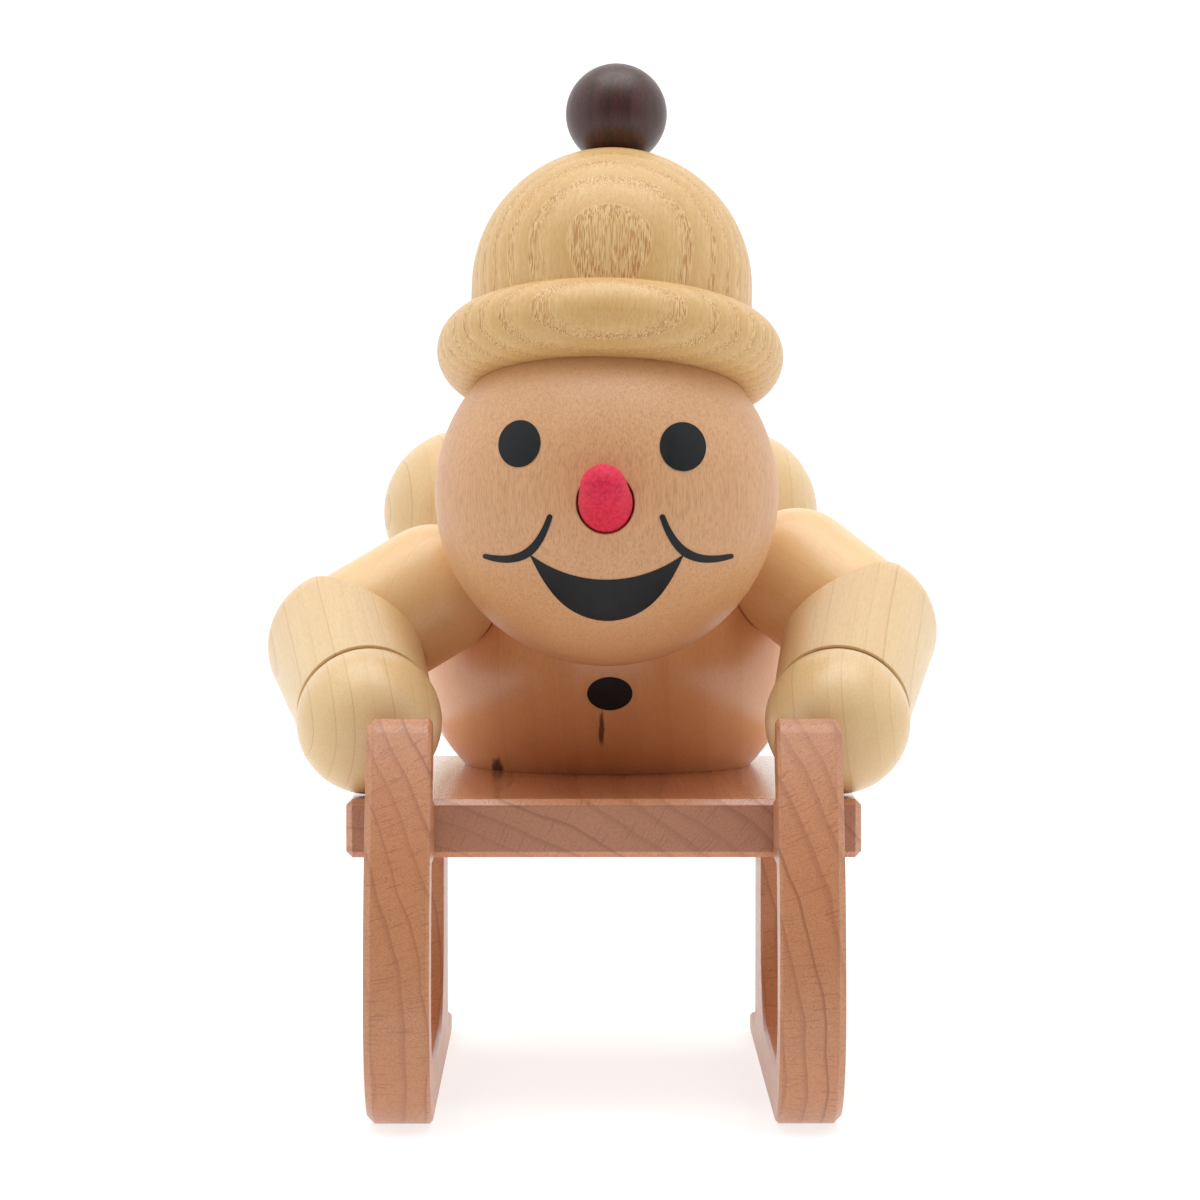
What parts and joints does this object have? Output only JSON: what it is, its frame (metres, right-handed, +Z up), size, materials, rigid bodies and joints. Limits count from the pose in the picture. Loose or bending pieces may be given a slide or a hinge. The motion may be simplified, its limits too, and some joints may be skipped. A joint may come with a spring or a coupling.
{
  "type": "wooden snowman on sled",
  "caption": "Turned-wood snowman figure lying on its belly on a small wooden sled, with a turning head, swinging arms and legs, and turning ball hands and feet.",
  "frame": {"origin": "ground level under the middle of the sled", "axes": "+Z up, the face looks along -Y, the figure's left hand is on +X"},
  "size_m": [0.0804, 0.1134, 0.1215],
  "materials": {
    "pale_wood": "satin clear lacquer over pale maple",
    "head_wood": "satin clear lacquer over flecked maple, warm tint",
    "ash_wood": "satin clear lacquer over open-pored ash",
    "dark_wood": "satin lacquer over dark reddish brown wood",
    "beech_sled": "satin oiled beech",
    "dowel_wood": "raw beech dowel",
    "red_paint": "matte crimson stain on wood",
    "black_paint": "thin satin black paint film"
  },
  "bodies": {
    "sled_and_torso": {"seat_board": "beech_sled", "seat_dowels": "dowel_wood", "body_dowels": "dowel_wood", "runner_left": "beech_sled", "runner_right": "beech_sled", "torso": "pale_wood", "neck_dowel": "dowel_wood", "button_paint": "black_paint", "shoulder_dowel_left": "dowel_wood", "hip_dowel_left": "dowel_wood", "thigh_left": "pale_wood", "knee_dowel_left": "dowel_wood", "shoulder_dowel_right": "dowel_wood", "hip_dowel_right": "dowel_wood", "thigh_right": "pale_wood", "knee_dowel_right": "dowel_wood"},
    "head": {"head": "head_wood", "nose": "red_paint", "hat": "ash_wood", "hat_dowel": "dowel_wood", "pompom": "dark_wood", "pompom_dowel": "dowel_wood", "smile_paint": "black_paint", "eye_paint_left": "black_paint", "eye_paint_right": "black_paint"},
    "upper_arm_left": {"upper_arm_left": "pale_wood", "elbow_dowel_left": "dowel_wood"},
    "forearm_left": {"forearm_left": "pale_wood", "wrist_dowel_left": "dowel_wood"},
    "hand_left": {"hand_left": "pale_wood"},
    "lower_leg_left": {"shin_left": "pale_wood", "ankle_dowel_left": "dowel_wood"},
    "foot_left": {"foot_left": "pale_wood"},
    "upper_arm_right": {"upper_arm_right": "pale_wood", "elbow_dowel_right": "dowel_wood"},
    "forearm_right": {"forearm_right": "pale_wood", "wrist_dowel_right": "dowel_wood"},
    "hand_right": {"hand_right": "pale_wood"},
    "lower_leg_right": {"shin_right": "pale_wood", "ankle_dowel_right": "dowel_wood"},
    "foot_right": {"foot_right": "pale_wood"}
  },
  "joints": [
    {"name": "head_turn", "type": "hinge", "parent": "sled_and_torso", "child": "head", "pos_m": [0.0004, -0.0237, 0.0706], "axis": [-0.0092, -0.9178, 0.3969], "range_deg": [-20, 20]},
    {"name": "shoulder_left", "type": "hinge", "parent": "sled_and_torso", "child": "upper_arm_left", "pos_m": [0.02365, -0.0012, 0.0604], "axis": [-0.9317, 0.3306, -0.1503], "range_deg": [0, 25]},
    {"name": "elbow_left", "type": "hinge", "parent": "upper_arm_left", "child": "forearm_left", "pos_m": [0.0295, -0.0055, 0.0558], "axis": [-0.543, 0.49, 0.682], "range_deg": [0, 35]},
    {"name": "hand_spin_left", "type": "hinge", "parent": "forearm_left", "child": "hand_left", "pos_m": [0.027, -0.0305, 0.0446], "axis": [-0.1569, -0.9178, -0.3648], "continuous": true},
    {"name": "knee_left", "type": "hinge", "parent": "sled_and_torso", "child": "lower_leg_left", "pos_m": [0.0155, 0.0458, 0.0446], "axis": [0.1298, 0.7012, 0.701], "range_deg": [-10, 40]},
    {"name": "foot_spin_left", "type": "hinge", "parent": "lower_leg_left", "child": "foot_left", "pos_m": [0.0176, 0.0458, 0.0669], "axis": [0.0938, 0, 0.9956], "continuous": true},
    {"name": "shoulder_right", "type": "hinge", "parent": "sled_and_torso", "child": "upper_arm_right", "pos_m": [-0.0205, -0.0037, 0.0585], "axis": [-0.9317, -0.3306, 0.1503], "range_deg": [0, 25]},
    {"name": "elbow_right", "type": "hinge", "parent": "upper_arm_right", "child": "forearm_right", "pos_m": [-0.0285, -0.0057, 0.0538], "axis": [-0.543, -0.49, -0.682], "range_deg": [0, 35]},
    {"name": "hand_spin_right", "type": "hinge", "parent": "forearm_right", "child": "hand_right", "pos_m": [-0.027, -0.0305, 0.0446], "axis": [0.1627, -0.9396, -0.301], "continuous": true},
    {"name": "knee_right", "type": "hinge", "parent": "sled_and_torso", "child": "lower_leg_right", "pos_m": [-0.0155, 0.0458, 0.0446], "axis": [0.1298, -0.7012, -0.701], "range_deg": [-10, 40]},
    {"name": "foot_spin_right", "type": "hinge", "parent": "lower_leg_right", "child": "foot_right", "pos_m": [-0.0176, 0.0458, 0.0669], "axis": [-0.0938, 0, 0.9956], "continuous": true}
  ]
}
